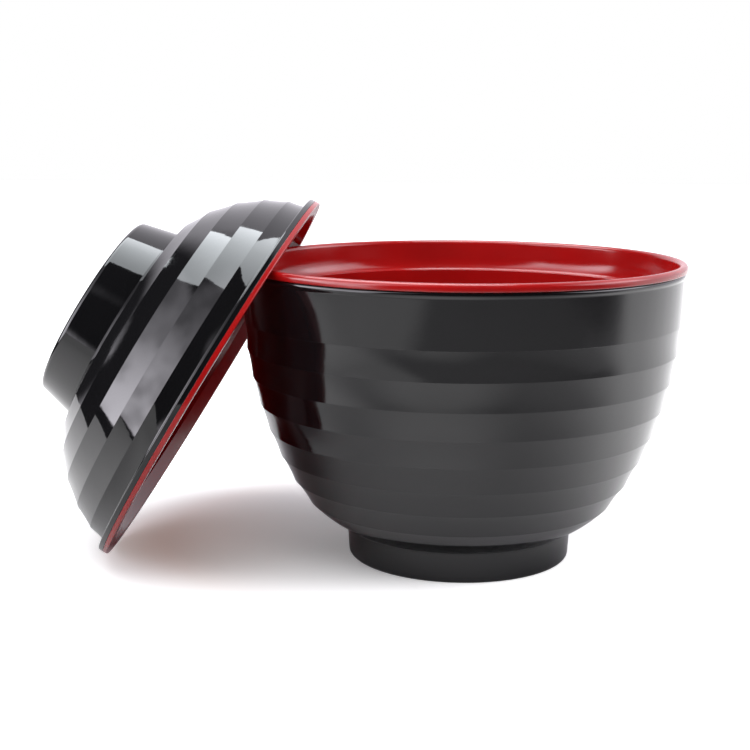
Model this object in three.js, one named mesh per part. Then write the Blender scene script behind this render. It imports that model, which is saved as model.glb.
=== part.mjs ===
import * as THREE from 'three';

// Sizes in millimetres, angles in degrees. Z is up and the table is at Z = 0.

// Bowl: outside
const BOWL_HEIGHT = 92;
const RIM_RADIUS = 67.5;
const LIP_OVERHANG = 0.8;
const BAND_HEIGHT = 18;
const BAND_DRAFT = 0.5;
const BEAD_HEIGHT = 1.7;
const BEAD_RELIEF = 0.35;
const BELLY_OUT_POWER = 1.64;
const BELLY_DOWN_POWER = 1.62;
const BOWL_RIDGES = 7;
const BOWL_RIDGE_DEPTH = 0.7;
const BOWL_PLAIN_LENGTH = 15;

// Bowl: foot ring
const FOOT_RADIUS = 34.2;
const FOOT_DRAFT = 0.6;
const FOOT_HEIGHT = 9.5;
const FOOT_WALL = 3.2;
const FOOT_CHAMFER = 0.9;

// Bowl: lining, lip and the seat for the lid
const BOWL_WALL = 3.8;
const BOWL_SHELL_WALL = 1.7;
const BOWL_SHELL_FLOOR = 2.4;
const LIP_THICKNESS = 2.5;
const LIP_SKIRT = 2.3;
const SEAT_DEPTH = 10;
const SEAT_WIDTH = 1.4;
const SEAT_DRAFT = 1.1;
const SEAT_CLEARANCE = 0.8;

// Lid: flange
const FLANGE_WIDTH = 3;
const FLANGE_RED = 1.2;
const FLANGE_BLACK = 1.6;
const FLANGE_CHAMFER = 0.3;

// Lid: dome
const DOME_INSET = 3.1;
const DOME_STEP = 0.6;
const DOME_HEIGHT = 32.2;
const DOME_OUT_POWER = 1.6;
const DOME_DOWN_POWER = 1.5;
const LID_RIDGES = 6;
const LID_RIDGE_DEPTH = 0.3;
const LID_WALL = 2.8;
const LID_SHELL_WALL = 1.4;
const LID_SHELL_FLOOR = 2.4;

// Lid: ring knob
const KNOB_RADIUS = 32.4;
const KNOB_DRAFT = 2.9;
const KNOB_HEIGHT = 11.9;
const KNOB_WALL = 3;
const KNOB_CHAMFER = 0.8;

// Both mouldings
const BOND_GAP = 0.3;
const CONTACT_GAP = 0.3;
const LEAN_ANGLE = 31;

// Fineness of the turned shapes
const TURN_STEPS = 56;
const LIP_STEPS = 6;
const CONTACT_STEPS = 180;

const black = new THREE.MeshStandardMaterial({ color: 0x1a1a1c, roughness: 0.25 });
const red = new THREE.MeshStandardMaterial({ color: 0xa01a18, roughness: 0.3 });

const at = (radius, height) => new THREE.Vector2(radius, height);

// A wall that leaves its start upright and reaches its end level, as a moulded belly does.
class TurnedWall extends THREE.Curve {
  constructor(start, end, outPower, downPower) {
    super();
    this.start = start;
    this.end = end;
    this.outPower = outPower;
    this.downPower = downPower;
  }

  getPoint(t, target = new THREE.Vector2()) {
    const angle = t * Math.PI / 2;
    const out = Math.max(Math.cos(angle), 0) ** (2 / this.outPower);
    const down = Math.sin(angle) ** (2 / this.downPower);
    return target.set(
      THREE.MathUtils.lerp(this.end.x, this.start.x, out),
      THREE.MathUtils.lerp(this.start.y, this.end.y, down),
    );
  }

  // The wall's point at t, moved out from it.
  raised(t, relief) {
    const tangent = this.getTangent(t);
    const outward = at(-tangent.y, tangent.x).multiplyScalar(Math.sign(this.start.y - this.end.y));
    return this.getPoint(t).addScaledVector(outward, relief);
  }

  // Bands between the breaks, each drawn in where it starts and standing proud where it ends.
  ridged(breaks, depth) {
    const points = [];
    for (let i = 1; i < breaks.length; i++) {
      const middle = (breaks[i - 1] + breaks[i]) / 2;
      points.push(this.raised(breaks[i - 1], -depth / 2));
      points.push(this.raised(middle, -depth / 4));
      points.push(this.raised(breaks[i], depth / 2));
    }
    return points;
  }

  // The wall's inner side below its breaks, down to its end.
  inside(breaks, depth) {
    const points = breaks.filter((t) => t < 1).map((t) => this.raised(t, -depth));
    points.push(this.raised(1, -depth));
    return points;
  }
}

function turned(name, outline, material) {
  const geometry = new THREE.LatheGeometry(outline, TURN_STEPS);
  geometry.rotateX(Math.PI / 2);
  const mesh = new THREE.Mesh(geometry, material);
  mesh.name = name;
  return mesh;
}

// Bowl: the belly between the shoulder and the foot ring, in ridges of equal length
const bandRadius = RIM_RADIUS - LIP_OVERHANG;
const shoulder = at(bandRadius - BAND_DRAFT, BOWL_HEIGHT - BAND_HEIGHT);
const footTop = at(FOOT_RADIUS + FOOT_DRAFT, FOOT_HEIGHT);
const belly = new TurnedWall(shoulder, footTop, BELLY_OUT_POWER, BELLY_DOWN_POWER);
const ridgedShare = 1 - BOWL_PLAIN_LENGTH / belly.getLength();
const bellyBreaks = [];
for (let i = 0; i <= BOWL_RIDGES; i++) {
  bellyBreaks.push(belly.getUtoTmapping(ridgedShare * i / BOWL_RIDGES));
}

// Bowl: the mouth. Shell and lining share the wall equally where they meet under the lip.
const lipInside = RIM_RADIUS - LIP_THICKNESS;
const lipRound = LIP_THICKNESS / 2;
const skirtEnd = BOWL_HEIGHT - LIP_SKIRT;
const shellTop = skirtEnd - BOND_GAP;
const edgeWidth = (bandRadius - lipInside - BOND_GAP) / 2;
const seatRadius = lipInside - SEAT_DRAFT;
const seatHeight = BOWL_HEIGHT - SEAT_DEPTH;

// Bowl: black shell with its foot ring
const footInside = FOOT_RADIUS - FOOT_WALL;
const recessTop = FOOT_HEIGHT + BOWL_SHELL_WALL - BOWL_SHELL_FLOOR;
const bowlShellOutline = [
  at(0, recessTop),
  at(footInside, recessTop),
  at(footInside, FOOT_CHAMFER),
  at(footInside + FOOT_CHAMFER, 0),
  at(FOOT_RADIUS - FOOT_CHAMFER, 0),
  at(FOOT_RADIUS, FOOT_CHAMFER),
  footTop,
  belly.raised(bellyBreaks.at(-1), -BOWL_RIDGE_DEPTH / 2),
  ...belly.ridged(bellyBreaks, BOWL_RIDGE_DEPTH).toReversed(),
  shoulder,
  at(bandRadius, shellTop - BEAD_HEIGHT),
  at(bandRadius + BEAD_RELIEF, shellTop - BEAD_HEIGHT / 2),
  at(bandRadius, shellTop),
  at(bandRadius - edgeWidth, shellTop),
  ...belly.inside(bellyBreaks, BOWL_SHELL_WALL),
  at(0, footTop.y + BOWL_SHELL_WALL),
];

// Bowl: red lining with the lip and the seat
const liningDepth = BOWL_SHELL_WALL + BOND_GAP;
const lip = [];
for (let i = 0; i <= LIP_STEPS; i++) {
  const angle = Math.PI * i / LIP_STEPS;
  lip.push(at(
    RIM_RADIUS - lipRound + lipRound * Math.cos(angle),
    BOWL_HEIGHT - lipRound + lipRound * Math.sin(angle),
  ));
}
const bowlLiningOutline = [
  at(0, footTop.y + liningDepth),
  ...belly.inside(bellyBreaks, liningDepth).toReversed(),
  at(lipInside + edgeWidth, skirtEnd),
  at(RIM_RADIUS, skirtEnd),
  ...lip,
  at(seatRadius, seatHeight),
  at(seatRadius - SEAT_WIDTH, seatHeight),
  ...belly.inside(bellyBreaks, BOWL_WALL),
  at(0, footTop.y + BOWL_WALL),
];

// Lid: the dome between the flange and the knob. Height 0 is the underside of the flange.
const flangeRadius = seatRadius - SEAT_CLEARANCE;
const mouthRadius = flangeRadius - FLANGE_WIDTH;
const flangeTop = FLANGE_RED + BOND_GAP + FLANGE_BLACK;
const domeFoot = at(flangeRadius - DOME_INSET, flangeTop + DOME_STEP);
const knobFoot = at(KNOB_RADIUS, DOME_HEIGHT);
const dome = new TurnedWall(domeFoot, knobFoot, DOME_OUT_POWER, DOME_DOWN_POWER);
const domeBreaks = [];
for (let i = 0; i <= LID_RIDGES; i++) {
  domeBreaks.push(i / LID_RIDGES);
}
const lidLiningDepth = LID_SHELL_WALL + BOND_GAP;
const flangeRoot = (mouthRadius + domeFoot.x) / 2;

// Lid: black shell with its ring knob
const knobTop = DOME_HEIGHT + KNOB_HEIGHT;
const knobTopRadius = KNOB_RADIUS - KNOB_DRAFT;
const knobInside = knobTopRadius - KNOB_WALL;
const lidCeiling = DOME_HEIGHT - LID_SHELL_WALL;
const lidShellOutline = [
  at(0, lidCeiling),
  ...dome.inside(domeBreaks, LID_SHELL_WALL).toReversed(),
  at(flangeRoot + BOND_GAP, FLANGE_RED + BOND_GAP),
  at(flangeRadius, FLANGE_RED + BOND_GAP),
  at(flangeRadius, flangeTop - FLANGE_CHAMFER),
  at(flangeRadius - FLANGE_CHAMFER, flangeTop),
  at(domeFoot.x, flangeTop),
  ...dome.ridged(domeBreaks, LID_RIDGE_DEPTH),
  at(knobTopRadius, knobTop - KNOB_CHAMFER),
  at(knobTopRadius - KNOB_CHAMFER, knobTop),
  at(knobInside + KNOB_CHAMFER, knobTop),
  at(knobInside, knobTop - KNOB_CHAMFER),
  at(knobInside, lidCeiling + LID_SHELL_FLOOR),
  at(0, lidCeiling + LID_SHELL_FLOOR),
];

// Lid: red lining with the flange's underside
const hollow = [...dome.inside(domeBreaks, LID_WALL).toReversed(), at(mouthRadius, 0)];
const lidLiningOutline = [
  at(0, DOME_HEIGHT - LID_WALL),
  ...hollow,
  at(flangeRadius, 0),
  at(flangeRadius, FLANGE_RED),
  at(flangeRoot, FLANGE_RED),
  ...dome.inside(domeBreaks, lidLiningDepth),
  at(0, DOME_HEIGHT - lidLiningDepth),
];

// The lid leans on the bowl: its axis points away from the bowl and up by the lean angle.
const lean = THREE.MathUtils.degToRad(LEAN_ANGLE);
const lidAxis = new THREE.Vector3(-Math.cos(lean), 0, Math.sin(lean));
const lidUp = new THREE.Vector3(Math.sin(lean), 0, Math.cos(lean));
const standHeight = -Math.min(...lidLiningOutline.map((p) => p.y * lidAxis.z - p.x * lidUp.z));

function hollowRadius(depth) {
  const next = hollow.findIndex((p) => p.y <= depth);
  if (next === 0) return 0;
  if (next < 0) return mouthRadius;
  const share = (depth - hollow[next].y) / (hollow[next - 1].y - hollow[next].y);
  return THREE.MathUtils.lerp(hollow[next].x, hollow[next - 1].x, share);
}

// The bowl's rim reaches a little way into the lid's mouth and bears on the edge of its flange.
const rimPoints = [];
for (const p of [...bowlLiningOutline, ...bowlShellOutline].filter((q) => q.y >= shoulder.y)) {
  for (let i = 0; i <= CONTACT_STEPS; i++) {
    const turn = Math.PI / 2 + Math.PI / 2 * i / CONTACT_STEPS;
    rimPoints.push(new THREE.Vector3(p.x * Math.cos(turn), p.x * Math.sin(turn), p.y));
  }
}

function touches(distance) {
  const centre = new THREE.Vector3(-distance, 0, standHeight);
  return rimPoints.some((p) => {
    const offset = p.clone().sub(centre);
    const depth = offset.dot(lidAxis);
    const reach = Math.hypot(offset.dot(lidUp), offset.y);
    return depth > -CONTACT_GAP && reach > hollowRadius(depth) - CONTACT_GAP;
  });
}

let near = 0;
let far = RIM_RADIUS + flangeRadius + knobTop;
while (far - near > CONTACT_GAP / 100) {
  const middle = (near + far) / 2;
  if (touches(middle)) near = middle;
  else far = middle;
}

const bowl = new THREE.Group();
bowl.add(turned('bowl_shell', bowlShellOutline, black));
bowl.add(turned('bowl_lining', bowlLiningOutline, red));

const lid = new THREE.Group();
lid.add(turned('lid_shell', lidShellOutline, black));
lid.add(turned('lid_lining', lidLiningOutline, red));
lid.rotation.y = lean - Math.PI / 2;
lid.position.set(-far, 0, standHeight);

// The set stands on the table, centred left to right.
const set = new THREE.Group();
set.add(bowl, lid);
set.updateMatrixWorld(true);
const centre = new THREE.Box3().setFromObject(set, true).getCenter(new THREE.Vector3());
bowl.position.x -= centre.x;
lid.position.x -= centre.x;

export default set;
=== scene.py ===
import math

import bmesh
import bpy
import numpy as np
from mathutils import Matrix, Vector


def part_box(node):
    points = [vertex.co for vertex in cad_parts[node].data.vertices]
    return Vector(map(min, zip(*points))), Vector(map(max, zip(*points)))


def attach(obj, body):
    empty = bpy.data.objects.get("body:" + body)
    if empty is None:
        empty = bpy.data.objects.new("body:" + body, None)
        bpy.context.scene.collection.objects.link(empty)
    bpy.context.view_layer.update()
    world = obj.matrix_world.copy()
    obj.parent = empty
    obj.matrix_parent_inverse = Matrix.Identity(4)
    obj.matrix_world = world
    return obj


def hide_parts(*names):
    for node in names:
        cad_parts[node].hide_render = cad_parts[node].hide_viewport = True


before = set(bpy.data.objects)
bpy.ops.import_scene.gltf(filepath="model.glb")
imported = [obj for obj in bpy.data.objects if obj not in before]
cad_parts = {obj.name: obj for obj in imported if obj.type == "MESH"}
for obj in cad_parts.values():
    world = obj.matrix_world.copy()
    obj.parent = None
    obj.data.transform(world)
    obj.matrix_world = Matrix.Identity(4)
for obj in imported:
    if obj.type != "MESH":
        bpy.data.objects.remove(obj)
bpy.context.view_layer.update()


# Bowl shell. The black outside of the bowl, compression moulded in melamine: a smooth band
# under the lip, seven hollowed ridges down the belly, a plain underside and a foot ring.
# Lengths of the set are in millimetres, and MM makes them metres.
MM = 0.001
BOWL_HEIGHT = 92
RIM_RADIUS = 67.5
LIP_OVERHANG = 0.8
LIP_SKIRT = 2.3
LIP_THICKNESS = 2.5
BAND_HEIGHT = 18
BAND_DRAFT = 0.5
BEAD_HEIGHT = 1.7
BEAD_RELIEF = 0.35
BEAD_SLOPE = 0.3
BEAD_ROUND = 0.3
BELLY_OUT_POWER = 1.64
BELLY_DOWN_POWER = 1.62
BOWL_RIDGES = 7
BOWL_RIDGE_DEPTH = 0.14
BOWL_RIDGE_HOLLOW = 0.2
BOWL_RIDGE_ROUND = 0.12
BOWL_PLAIN_LENGTH = 15
UNDERSIDE_ROUND = 0.7
FOOT_RADIUS = 34.2
FOOT_DRAFT = 0.6
FOOT_HEIGHT = 9.5
FOOT_WALL = 3.2
FOOT_ROUND = 1.2
FOOT_ROOT_ROUND = 0.5
RECESS_ROUND = 0.8
BOWL_SHELL_WALL = 1.7
BOWL_SHELL_FLOOR = 2.4
SEAM = 0.06
SEAM_ROUND = 0.1
TURN_STEPS = 256
CORNER_STEPS = 5
MERGE_DISTANCE = 1e-6
BLACK = (0.0042, 0.0042, 0.0047)
BOWL_BLACK_ROUGHNESS = 0.1
MELAMINE_IOR = 1.55
MOTTLE_SCALE = 45
MOTTLE_DETAIL = 4
MOTTLE_SHADE = ((0.3, 0.7), (0.9, 1.1), "LINEAR")
HAZE_SCALE = 120
HAZE_DETAIL = 6
HAZE_GRAIN = 0.65
HAZE_DULLNESS = ((0.35, 0.75), (0.85, 1.35), "LINEAR")
PEEL_SCALE = 260
PEEL_STRENGTH = 0.12
PEEL_HEIGHT = 0.12


class Wall:
    """A turned wall that leaves its start upright and reaches its end level."""

    SAMPLES = 4001
    SLOPE_STEP = 1e-4

    def __init__(self, start, end, out_power, down_power):
        self.start = start
        self.end = end
        self.out_power = out_power
        self.down_power = down_power

    def point(self, t):
        """The wall's point at t, from 0 at its start to 1 at its end."""
        out = max(math.cos(t * math.pi / 2), 0) ** (2 / self.out_power)
        down = math.sin(t * math.pi / 2) ** (2 / self.down_power)
        return Vector((
            self.end[0] + (self.start[0] - self.end[0]) * out,
            self.start[1] + (self.end[1] - self.start[1]) * down,
        ))

    def raised(self, t, relief):
        """The wall's point at t, moved out from it."""
        run = self.point(min(t + self.SLOPE_STEP, 1)) - self.point(max(t - self.SLOPE_STEP, 0))
        side = 1 if self.start[1] > self.end[1] else -1
        outward = Vector((-run[1], run[0])).normalized() * side
        return self.point(t) + outward * relief

    def equal_breaks(self, ridges, plain_length):
        """Where ridges of equal length break, with a plain length left at the wall's end."""
        turns = np.linspace(0, 1, self.SAMPLES)
        points = np.array([self.point(t) for t in turns])
        along = np.concatenate([[0], np.cumsum(np.hypot(*np.diff(points, axis=0).T))])
        lengths = np.linspace(0, along[-1] - plain_length, ridges + 1)
        return [float(t) for t in np.interp(lengths, along, turns)]

    def ridged(self, breaks, depth, hollow, corner, steps=8):
        """Hollowed bands, each drawn in where it starts and standing proud where it ends."""
        outline = []
        for first, last in zip(breaks, breaks[1:]):
            middle = (first + last) / 2
            upper = self.raised(first, -depth / 2)
            lower = self.raised(last, depth / 2)
            inward = self.raised(middle, -1) - self.point(middle)
            for k in range(steps + 1):
                share = k / steps
                sag = 4 * share * (1 - share)
                point = upper.lerp(lower, share) + inward * hollow * sag
                outline.append((*point, corner if k in (0, steps) else 0))
        return outline

    def inside(self, breaks, depth, corner=0, steps=40):
        """The wall's inner side down to its last break, then straight to its end."""
        turns = [breaks[-1] * k / steps for k in range(steps + 1)]
        outline = [(*self.raised(t, -depth), 0) for t in turns]
        if breaks[-1] < 1:
            outline.append((*self.raised(1, -depth), corner))
        return outline


def turned(name, outline, place, body, node, material):
    """Spins an outline of (radius, height, corner round) in millimetres about its axis."""
    bm = bmesh.new()
    corners = {}
    last = None
    for radius, height, corner in outline:
        vert = bm.verts.new((radius * MM, 0, height * MM))
        if last:
            bm.edges.new((last, vert))
        if corner:
            corners.setdefault(corner, []).append(vert)
        last = vert
    for corner, verts in corners.items():
        bmesh.ops.bevel(
            bm, geom=verts, offset=corner * MM, offset_type="OFFSET", segments=CORNER_STEPS,
            profile=0.5, affect="VERTICES", clamp_overlap=True, material=-1,
        )
    bmesh.ops.spin(
        bm, geom=bm.verts[:] + bm.edges[:], cent=(0, 0, 0), axis=(0, 0, 1),
        angle=2 * math.pi, steps=TURN_STEPS, use_merge=True,
    )
    bmesh.ops.remove_doubles(bm, verts=bm.verts[:], dist=MERGE_DISTANCE)
    bmesh.ops.recalc_face_normals(bm, faces=bm.faces[:])
    for face in bm.faces:
        face.smooth = True
    bmesh.ops.transform(bm, matrix=place, verts=bm.verts[:])
    mesh = bpy.data.meshes.new(name)
    bm.to_mesh(mesh)
    bm.free()
    mesh.materials.append(material)
    piece = bpy.data.objects.new(name, mesh)
    bpy.context.scene.collection.objects.link(piece)
    piece.modifiers.new("flat_bands", "WEIGHTED_NORMAL")
    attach(piece, body)
    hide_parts(node)


def link(tree, source, target):
    """Joins an output to an input."""
    tree.links.new(source, target)


def noise(tree, where, scale, detail=2, grain=0.5):
    """A cloudy pattern over the given coordinates."""
    node = tree.nodes.new("ShaderNodeTexNoise")
    node.inputs["Scale"].default_value = scale
    node.inputs["Detail"].default_value = detail
    node.inputs["Roughness"].default_value = grain
    link(tree, where, node.inputs["Vector"])
    return node.outputs["Fac"]


def ramp(tree, source, reach, values=(0, 1), shape="SMOOTHSTEP"):
    """A change from the first value to the second as the source crosses the reach."""
    node = tree.nodes.new("ShaderNodeMapRange")
    node.interpolation_type = shape
    node.inputs["From Min"].default_value, node.inputs["From Max"].default_value = reach
    node.inputs["To Min"].default_value, node.inputs["To Max"].default_value = values
    link(tree, source, node.inputs["Value"])
    return node.outputs["Result"]


def calc(tree, operation, *values):
    """The result of a sum on sockets and numbers."""
    node = tree.nodes.new("ShaderNodeMath")
    node.operation = operation
    for socket, value in zip(node.inputs, values):
        if isinstance(value, (int, float)):
            socket.default_value = value
        else:
            link(tree, value, socket)
    return node.outputs["Value"]


def skin_group():
    """Moulded melamine skin: faint mottling, handling haze and orange peel."""
    tree = bpy.data.node_groups.new("melamine_skin", "ShaderNodeTree")
    for name, side, kind in (
        ("Vector", "INPUT", "NodeSocketVector"),
        ("Color", "INPUT", "NodeSocketColor"),
        ("Roughness", "INPUT", "NodeSocketFloat"),
        ("Color", "OUTPUT", "NodeSocketColor"),
        ("Roughness", "OUTPUT", "NodeSocketFloat"),
        ("Normal", "OUTPUT", "NodeSocketVector"),
    ):
        tree.interface.new_socket(name, in_out=side, socket_type=kind)
    given = tree.nodes.new("NodeGroupInput").outputs
    result = tree.nodes.new("NodeGroupOutput").inputs
    where = given["Vector"]

    mottle = noise(tree, where, MOTTLE_SCALE, MOTTLE_DETAIL)
    tint = tree.nodes.new("ShaderNodeVectorMath")
    tint.operation = "SCALE"
    link(tree, given["Color"], tint.inputs[0])
    link(tree, ramp(tree, mottle, *MOTTLE_SHADE), tint.inputs["Scale"])
    link(tree, tint.outputs["Vector"], result["Color"])

    haze = noise(tree, where, HAZE_SCALE, HAZE_DETAIL, HAZE_GRAIN)
    dull = ramp(tree, haze, *HAZE_DULLNESS)
    link(tree, calc(tree, "MULTIPLY", given["Roughness"], dull), result["Roughness"])

    peel = tree.nodes.new("ShaderNodeBump")
    peel.inputs["Strength"].default_value = PEEL_STRENGTH
    peel.inputs["Distance"].default_value = PEEL_HEIGHT * MM
    link(tree, noise(tree, where, PEEL_SCALE), peel.inputs["Height"])
    link(tree, peel.outputs["Normal"], result["Normal"])
    return tree


skin = skin_group()


def melamine(name, colour, roughness, place):
    """A coloured melamine whose skin pattern follows the moulding's own axis."""
    material = bpy.data.materials.new(name)
    material.use_nodes = True
    tree = material.node_tree
    shader = tree.nodes["Principled BSDF"]
    shader.inputs["IOR"].default_value = MELAMINE_IOR
    where = tree.nodes.new("ShaderNodeTexCoord")
    turn = tree.nodes.new("ShaderNodeMapping")
    turn.vector_type = "TEXTURE"
    turn.inputs["Location"].default_value = place.to_translation()
    turn.inputs["Rotation"].default_value = place.to_euler()
    link(tree, where.outputs["Object"], turn.inputs["Vector"])
    group = tree.nodes.new("ShaderNodeGroup")
    group.node_tree = skin
    group.inputs["Color"].default_value = (*colour, 1)
    group.inputs["Roughness"].default_value = roughness
    link(tree, turn.outputs["Vector"], group.inputs["Vector"])
    link(tree, group.outputs["Color"], shader.inputs["Base Color"])
    link(tree, group.outputs["Roughness"], shader.inputs["Roughness"])
    link(tree, group.outputs["Normal"], shader.inputs["Normal"])
    return material


low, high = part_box("bowl_lining")
bowl_place = Matrix.Translation(((low[0] + high[0]) / 2, 0, 0))
band_radius = RIM_RADIUS - LIP_OVERHANG
bead_radius = band_radius + BEAD_RELIEF
shoulder = (band_radius - BAND_DRAFT, BOWL_HEIGHT - BAND_HEIGHT)
foot_top = (FOOT_RADIUS + FOOT_DRAFT, FOOT_HEIGHT)
belly = Wall(shoulder, foot_top, BELLY_OUT_POWER, BELLY_DOWN_POWER)
belly_breaks = belly.equal_breaks(BOWL_RIDGES, BOWL_PLAIN_LENGTH)
ridges = belly.ridged(belly_breaks, BOWL_RIDGE_DEPTH, BOWL_RIDGE_HOLLOW, BOWL_RIDGE_ROUND)
underside = belly.ridged([belly_breaks[-1], 1], 0, -UNDERSIDE_ROUND, 0)[1:-1]
lip_inside = RIM_RADIUS - LIP_THICKNESS
skirt_end = BOWL_HEIGHT - LIP_SKIRT
shell_top = skirt_end - SEAM
edge_width = (band_radius - lip_inside - SEAM) / 2
foot_inside = FOOT_RADIUS - FOOT_WALL
recess_top = FOOT_HEIGHT + BOWL_SHELL_WALL - BOWL_SHELL_FLOOR
turned(
    "bowl_body",
    [
        (0, recess_top, 0),
        (foot_inside, recess_top, RECESS_ROUND),
        (foot_inside, 0, FOOT_ROUND),
        (FOOT_RADIUS, 0, FOOT_ROUND),
        (*foot_top, FOOT_ROOT_ROUND),
        *underside[::-1],
        *ridges[::-1],
        (*shoulder, BOWL_RIDGE_ROUND),
        (band_radius, shell_top - BEAD_HEIGHT, BEAD_ROUND),
        (bead_radius, shell_top - BEAD_HEIGHT * (1 - BEAD_SLOPE), BEAD_ROUND),
        (bead_radius, shell_top - BEAD_HEIGHT * BEAD_SLOPE, BEAD_ROUND),
        (band_radius, shell_top, SEAM_ROUND),
        (band_radius - edge_width, shell_top, 0),
        *belly.inside(belly_breaks, BOWL_SHELL_WALL),
        (0, FOOT_HEIGHT + BOWL_SHELL_WALL, 0),
    ],
    bowl_place, "bowl", "bowl_shell",
    melamine("bowl_black", BLACK, BOWL_BLACK_ROUGHNESS, bowl_place),
)


# Bowl lining. The red melamine inside of the bowl, pressed onto the shell as a second shot:
# it folds over the wall as a rounded lip, and steps in below it to a narrow seat for the lid.
BOWL_WALL = 3.8
SKIRT_ROUND = 0.35
SEAT_DEPTH = 10
SEAT_WIDTH = 1.4
SEAT_DRAFT = 1.1
SEAT_ROUND = 0.15
COVE_WIDTH = 2
COVE_HEIGHT = 5.5
COVE_INSET = 1.1
WELL_ROUND = 8
DISH_DEPTH = 0.8
DISH_RADIUS = 26
CURVE_STEPS = 12
RED = (0.38, 0.006, 0.006)
RED_ROUGHNESS = 0.16
seat_radius = lip_inside - SEAT_DRAFT
seat_height = BOWL_HEIGHT - SEAT_DEPTH
lining_depth = BOWL_SHELL_WALL + SEAM
well_floor = FOOT_HEIGHT + BOWL_WALL
seat_cove = []
well_dish = []
for k in range(CURVE_STEPS + 1):
    turn = math.pi / 2 * k / CURVE_STEPS
    seat_cove.append((
        seat_radius - COVE_INSET + COVE_WIDTH * math.cos(turn),
        seat_height + COVE_HEIGHT * (1 - math.sin(turn)),
        0,
    ))
    share = 1 - k / CURVE_STEPS
    drop = DISH_DEPTH * (1 + math.cos(math.pi * share)) / 2
    well_dish.append((DISH_RADIUS * share, well_floor - drop, 0))
turned(
    "bowl_inside",
    [
        (0, FOOT_HEIGHT + lining_depth, 0),
        *belly.inside(belly_breaks, lining_depth)[::-1],
        (lip_inside + edge_width, skirt_end, 0),
        (RIM_RADIUS, skirt_end, SKIRT_ROUND),
        (RIM_RADIUS, BOWL_HEIGHT, LIP_THICKNESS / 2),
        (lip_inside, BOWL_HEIGHT, LIP_THICKNESS / 2),
        *seat_cove,
        (seat_radius - SEAT_WIDTH, seat_height, SEAT_ROUND),
        *belly.inside(belly_breaks, BOWL_WALL, WELL_ROUND),
        *well_dish,
    ],
    bowl_place, "bowl", "bowl_lining",
    melamine("bowl_red", RED, RED_ROUGHNESS, bowl_place),
)


# Lid shell. The black melamine outside of the lid, moulded in one: a thin flange, a dome with
# six hollowed ridges and a tall hollow ring that is the knob, and the foot when the lid is
# turned over as a dish. Here the lid leans on the bowl's rim and stands on its flange.
SEAT_CLEARANCE = 0.8
FLANGE_WIDTH = 3
FLANGE_RED = 1.45
FLANGE_THICKNESS = 3.1
FLANGE_ROUND = 0.45
DOME_INSET = 3.1
DOME_STEP = 0.6
DOME_ROOT_ROUND = 0.6
DOME_HEIGHT = 32.2
DOME_OUT_POWER = 1.6
DOME_UP_POWER = 1.5
LID_RIDGES = 6
LID_RIDGE_DEPTH = 0.1
LID_RIDGE_HOLLOW = 0.12
LID_RIDGE_ROUND = 0.7
LID_SHELL_WALL = 1.4
LID_SHELL_FLOOR = 2.4
KNOB_RADIUS = 32.4
KNOB_DRAFT = 2.9
KNOB_HEIGHT = 11.9
KNOB_WALL = 3
KNOB_ROUND = 1.3
KNOB_FLOOR_ROUND = 0.8
LID_LEAN = math.radians(31)
LID_BLACK_ROUGHNESS = 0.05
flange_radius = seat_radius - SEAT_CLEARANCE
low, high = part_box("lid_lining")
lid_place = Matrix.Translation((
    high[0] - flange_radius * MM * math.sin(LID_LEAN),
    0,
    flange_radius * MM * math.cos(LID_LEAN),
)) @ Matrix.Rotation(LID_LEAN - math.pi / 2, 4, "Y")
mouth_radius = flange_radius - FLANGE_WIDTH
dome_foot = (flange_radius - DOME_INSET, FLANGE_THICKNESS + DOME_STEP)
dome = Wall(dome_foot, (KNOB_RADIUS, DOME_HEIGHT), DOME_OUT_POWER, DOME_UP_POWER)
dome_breaks = [i / LID_RIDGES for i in range(LID_RIDGES + 1)]
flange_root = (mouth_radius + dome_foot[0]) / 2
knob_top = DOME_HEIGHT + KNOB_HEIGHT
knob_top_radius = KNOB_RADIUS - KNOB_DRAFT
knob_inside = knob_top_radius - KNOB_WALL
lid_ceiling = DOME_HEIGHT - LID_SHELL_WALL
knob_floor = lid_ceiling + LID_SHELL_FLOOR
turned(
    "lid_body",
    [
        (0, lid_ceiling, 0),
        *dome.inside(dome_breaks, LID_SHELL_WALL)[::-1],
        (flange_root + SEAM, FLANGE_RED + SEAM, 0),
        (flange_radius, FLANGE_RED + SEAM, SEAM_ROUND),
        (flange_radius, FLANGE_THICKNESS, FLANGE_ROUND),
        (dome_foot[0], FLANGE_THICKNESS, DOME_ROOT_ROUND),
        *dome.ridged(dome_breaks, LID_RIDGE_DEPTH, LID_RIDGE_HOLLOW, LID_RIDGE_ROUND),
        (knob_top_radius, knob_top, KNOB_ROUND),
        (knob_inside, knob_top, KNOB_ROUND),
        (knob_inside, knob_floor, KNOB_FLOOR_ROUND),
        (0, knob_floor, 0),
    ],
    lid_place, "lid", "lid_shell",
    melamine("lid_black", BLACK, LID_BLACK_ROUGHNESS, lid_place),
)


# Lid lining. The red melamine inside of the lid, the second shot of its press: it lines the
# dome and turns out over the flange's underside, where its edge shows as a red line.
LID_WALL = 2.8
MOUTH_ROUND = 0.3
FLANGE_EDGE_ROUND = 0.4
lid_lining_depth = LID_SHELL_WALL + SEAM
turned(
    "lid_inside",
    [
        (0, DOME_HEIGHT - LID_WALL, 0),
        *dome.inside(dome_breaks, LID_WALL)[::-1],
        (mouth_radius, 0, MOUTH_ROUND),
        (flange_radius, 0, FLANGE_EDGE_ROUND),
        (flange_radius, FLANGE_RED, SEAM_ROUND),
        (flange_root, FLANGE_RED, 0),
        *dome.inside(dome_breaks, lid_lining_depth),
        (0, DOME_HEIGHT - lid_lining_depth, 0),
    ],
    lid_place, "lid", "lid_lining",
    melamine("lid_red", RED, RED_ROUGHNESS, lid_place),
)


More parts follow.
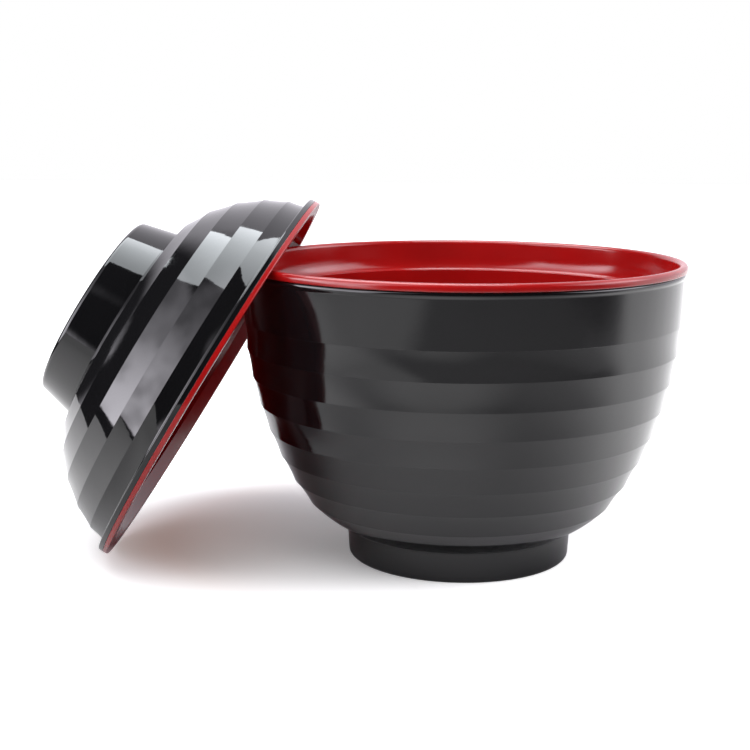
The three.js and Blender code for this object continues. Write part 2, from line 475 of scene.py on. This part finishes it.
# Floor. A sheet of white paper, white to the camera apart from the soft shadow, which has a
# painted warm tint beside the lid in place of light thrown off the red linings. In the gloss
# of the set the paper has painted shade, dim towards the camera, and a painted glow where the
# studio would light it. Each ramp is a reach in metres and the values at its ends.
FLOOR_CORNERS = [(-0.36, -0.7), (1.5, -0.7), (1.5, 2.5), (-1.3, 2.5)]
PAPER_WHITE = 0.88
PAPER_ROUGHNESS = 0.6
BOUNCE_LOSS = 0.5
# Painted shade and painted glow on the paper, seen only in the gloss.
FRONT_DARK_Y = ((-0.22, -0.04), (0.6, 0), "LINEAR")
RIGHT_DARK_X = ((0.2, 0.5), (0, 0.75))
RIGHT_DARK_Y = ((-0.2, 0), (1, 0))
RIGHT_GLOW_X = ((0.05, 0.15), (0, 1))
RIGHT_GLOW_Y = ((-0.12, -0.02), (0, 1))
LEFT_GLOW_X = ((-0.16, -0.08), (0.6, 0))
FRONT_GLOW_CENTRE = (0, -0.16, 0)
FRONT_GLOW = ((0.03, 0.11), (0.6, 0))
SHADOW_CENTRE = (-0.02, 0.015, 0)
SHADOW_LIFT = ((0.04, 0.11), (0.2, 1))
# Painted warm tint in the shadow beside the lid, and the reaches where it turns to white.
PAINTED_SHADOW_WARMTH = (1, 0.72, 0.6)
PAINTED_WARMTH_REACH = (0.035, 0.075)
PAINTED_WARMTH_END_X = (-0.08, -0.01)
WHITE = (1, 1, 1)


def combine(tree, operation, *values):
    """Any number of values taken together, one after another."""
    result = values[0]
    for value in values[1:]:
        result = calc(tree, operation, result, value)
    return result


def faded(tree, *edges):
    """A patch that fades at each of its edges, given as a source and its ramp."""
    return combine(tree, "MULTIPLY", *[ramp(tree, source, *edge) for source, edge in edges])


def blend(tree, factor, first, last):
    """A colour between two others."""
    node = tree.nodes.new("ShaderNodeMix")
    node.data_type = "RGBA"
    link(tree, factor, node.inputs[0])
    node.inputs[6].default_value = (*first, 1)
    node.inputs[7].default_value = (*last, 1)
    return node.outputs[2]


def distance(tree, source, spot):
    """How far the source is from a spot."""
    node = tree.nodes.new("ShaderNodeVectorMath")
    node.operation = "DISTANCE"
    node.inputs[1].default_value = spot
    link(tree, source, node.inputs[0])
    return node.outputs["Value"]


def axes(tree, where):
    """The three axes of a coordinate."""
    split = tree.nodes.new("ShaderNodeSeparateXYZ")
    link(tree, where, split.inputs["Vector"])
    return split.outputs


bm = bmesh.new()
bm.faces.new([bm.verts.new((*corner, 0)) for corner in FLOOR_CORNERS])
mesh = bpy.data.meshes.new("floor")
bm.to_mesh(mesh)
bm.free()
floor = bpy.data.objects.new("floor", mesh)
bpy.context.scene.collection.objects.link(floor)
paper = bpy.data.materials.new("paper")
mesh.materials.append(paper)
paper.use_nodes = True
tree = paper.node_tree
shader = tree.nodes["Principled BSDF"]
shader.inputs["Roughness"].default_value = PAPER_ROUGHNESS
shader.inputs["Specular IOR Level"].default_value = 0
where = tree.nodes.new("ShaderNodeTexCoord").outputs["Object"]
x, y, _ = axes(tree, where)
ray = tree.nodes.new("ShaderNodeLightPath").outputs

# Painted shade: the gloss sees the paper darker towards the camera and far to the right.
right_dark = faded(tree, (x, RIGHT_DARK_X), (y, RIGHT_DARK_Y))
dark = calc(tree, "MAXIMUM", ramp(tree, y, *FRONT_DARK_Y), right_dark)
dark = calc(tree, "MULTIPLY", ray["Is Glossy Ray"], dark)
white = calc(tree, "MULTIPLY_ADD", dark, -PAPER_WHITE, PAPER_WHITE)
white = calc(tree, "MULTIPLY_ADD", ray["Is Diffuse Ray"], -BOUNCE_LOSS, white)
link(tree, white, shader.inputs["Base Color"])

# Painted glow: the gloss sees the paper lit up to the right, to the left and in front of the
# bowl.
right_glow = faded(tree, (x, RIGHT_GLOW_X), (y, RIGHT_GLOW_Y))
left_glow = ramp(tree, x, *LEFT_GLOW_X)
front_glow = ramp(tree, distance(tree, where, FRONT_GLOW_CENTRE), *FRONT_GLOW)
glow = combine(tree, "ADD", right_glow, left_glow, front_glow)
glow = calc(tree, "MULTIPLY", ray["Is Glossy Ray"], glow)
from_shadow = distance(tree, where, SHADOW_CENTRE)
lift = calc(tree, "MULTIPLY", ray["Is Camera Ray"], ramp(tree, from_shadow, *SHADOW_LIFT))
link(tree, calc(tree, "ADD", lift, glow), shader.inputs["Emission Strength"])
# Painted warm tint: the paper's emission is warmed in and near the shadow beside the lid, and
# turns white further out.
beyond_painted_warmth = calc(tree, "MAXIMUM", ramp(tree, from_shadow, PAINTED_WARMTH_REACH), ramp(tree, x, PAINTED_WARMTH_END_X))
link(tree, blend(tree, beyond_painted_warmth, PAINTED_SHADOW_WARMTH, WHITE), shader.inputs["Emission Color"])


# Light. A dim studio that shows in the gloss: a white backdrop behind and to the right, and a
# tall reflector on each side, the left one cloudy. A round window overhead shines on the dome
# of the lid, and a soft box in front of the set lights its colours and casts the shadow.
BACKDROP_TURN = 0.6
BACKDROP_EDGE = ((0.2, 0.5), (0.03, 1.2))
BACKDROP_RIGHT_X = ((0.3, 0.95), (1, 1.3))
LEFT_REFLECTOR_X = ((-0.4, -0.2), (5.5, 0))
LEFT_REFLECTOR_FRONT = ((-0.75, -0.6), (0, 1))
LEFT_REFLECTOR_BACK = ((0.04, 0.14), (1, 0))
LEFT_REFLECTOR_SLOPE = -0.17
LEFT_REFLECTOR_LOW = ((-0.03, -0.012), (0, 1))
LEFT_REFLECTOR_TOP = ((0.1, 0.85), (1, 0.2))
CLOUD_SCALE = 2.5
CLOUD_SHADE = ((0.35, 0.65), (0.6, 1.25))
RIGHT_REFLECTOR_X = ((0.4, 0.6), (0, 3.5))
RIGHT_REFLECTOR_FRONT = ((-0.5, -0.35), (0, 1))
RIGHT_REFLECTOR_BACK = ((0.2, 0.35), (1, 0))
RIGHT_REFLECTOR_LOW = ((0.15, 0.3), (0, 1))
RIGHT_REFLECTOR_TOP = ((0.5, 0.8), (1, 0))
ROOM_DIMMING = 0.55
ROOM_TINT = (1, 0.97, 1.05)
WINDOW_PLACE = (-0.227, 0.157, 0.83)
WINDOW_TURN = (0, 0, math.radians(148))
WINDOW_SIZE = (1, 0.6)
WINDOW_RADIANCE = 6.3
WINDOW_COLOUR = (0.91, 0.96, 1)
WINDOW_SHADE = ((0.1, 0.9), (1, 0.6))
KEY_PLACE = Vector((-0.05, -0.38, 0.93))
KEY_SIZE = (0.9, 0.9)
KEY_RADIANCE = 3.9


def lamp(name, place, turn, size, radiance, colour):
    """A soft light of a given brightness, facing along its own -Z."""
    data = bpy.data.lights.new(name, "AREA")
    data.shape = "RECTANGLE"
    data.size, data.size_y = size
    data.energy = radiance * math.pi * data.size * data.size_y
    data.color = colour
    light = bpy.data.objects.new(name, data)
    bpy.context.scene.collection.objects.link(light)
    light.location = place
    light.rotation_euler = turn
    return light


world = bpy.data.worlds.new("room")
bpy.context.scene.world = world
world.use_nodes = True
tree = world.node_tree
sky = tree.nodes["Background"]
where = tree.nodes.new("ShaderNodeTexCoord").outputs["Generated"]
x, y, z = axes(tree, where)
ray = tree.nodes.new("ShaderNodeLightPath").outputs
behind = calc(tree, "MULTIPLY_ADD", x, BACKDROP_TURN, y)
backdrop = faded(tree, (behind, BACKDROP_EDGE), (x, BACKDROP_RIGHT_X))
above = calc(tree, "MULTIPLY_ADD", y, LEFT_REFLECTOR_SLOPE, z)
left_reflector = faded(
    tree,
    (x, LEFT_REFLECTOR_X),
    (y, LEFT_REFLECTOR_FRONT),
    (y, LEFT_REFLECTOR_BACK),
    (above, LEFT_REFLECTOR_LOW),
    (z, LEFT_REFLECTOR_TOP),
    (noise(tree, where, CLOUD_SCALE), CLOUD_SHADE),
)
right_reflector = faded(
    tree,
    (x, RIGHT_REFLECTOR_X),
    (y, RIGHT_REFLECTOR_FRONT),
    (y, RIGHT_REFLECTOR_BACK),
    (z, RIGHT_REFLECTOR_LOW),
    (z, RIGHT_REFLECTOR_TOP),
)
room = combine(tree, "ADD", backdrop, left_reflector, right_reflector)
dimming = calc(tree, "MULTIPLY_ADD", ray["Is Diffuse Ray"], -ROOM_DIMMING, 1)
level = tree.nodes.new("ShaderNodeMix")
level.data_type = "FLOAT"
link(tree, ray["Is Camera Ray"], level.inputs["Factor"])
link(tree, calc(tree, "MULTIPLY", room, dimming), level.inputs["A"])
level.inputs["B"].default_value = 1
link(tree, level.outputs["Result"], sky.inputs["Strength"])
link(tree, blend(tree, ray["Is Camera Ray"], ROOM_TINT, WHITE), sky.inputs["Color"])

window = lamp(
    "window", WINDOW_PLACE, WINDOW_TURN, WINDOW_SIZE, WINDOW_RADIANCE, WINDOW_COLOUR,
)
window.visible_diffuse = False
window.data.shape = "ELLIPSE"
window.data.use_nodes = True
tree = window.data.node_tree
pane = tree.nodes.new("ShaderNodeNewGeometry").outputs["Parametric"]
shade = ramp(tree, axes(tree, pane)["Y"], *WINDOW_SHADE)
link(tree, shade, tree.nodes["Emission"].inputs["Strength"])

key_turn = (-KEY_PLACE).to_track_quat("-Z", "Y").to_euler()
key = lamp("key_box", KEY_PLACE, key_turn, KEY_SIZE, KEY_RADIANCE, WHITE)
key.visible_glossy = False


# Camera. It stands in front of the bowl, higher than its rim, and looks down on it a little,
# as in the photograph. Its place is in metres from the middle of the bowl's foot.
CAMERA_PLACE = (-0.00762, -0.4337, 0.13438)
CAMERA_TURN = math.radians(2.48)
CAMERA_DOWN = math.radians(10.28)
CAMERA_ROLL = math.radians(0.22)
CAMERA_SENSOR = 36
CAMERA_LENS = 68.3
CAMERA_NEAR = 0.01
camera = bpy.data.objects.new("camera", bpy.data.cameras.new("camera"))
bpy.context.scene.collection.objects.link(camera)
bpy.context.scene.camera = camera
camera.data.sensor_width = CAMERA_SENSOR
camera.data.lens = CAMERA_LENS
camera.data.clip_start = CAMERA_NEAR
camera.matrix_world = (
    bowl_place
    @ Matrix.Translation(CAMERA_PLACE)
    @ Matrix.Rotation(CAMERA_TURN, 4, "Z")
    @ Matrix.Rotation(math.pi / 2 - CAMERA_DOWN, 4, "X")
    @ Matrix.Rotation(CAMERA_ROLL, 4, "Z")
)
bpy.context.scene.view_settings.view_transform = "Standard"
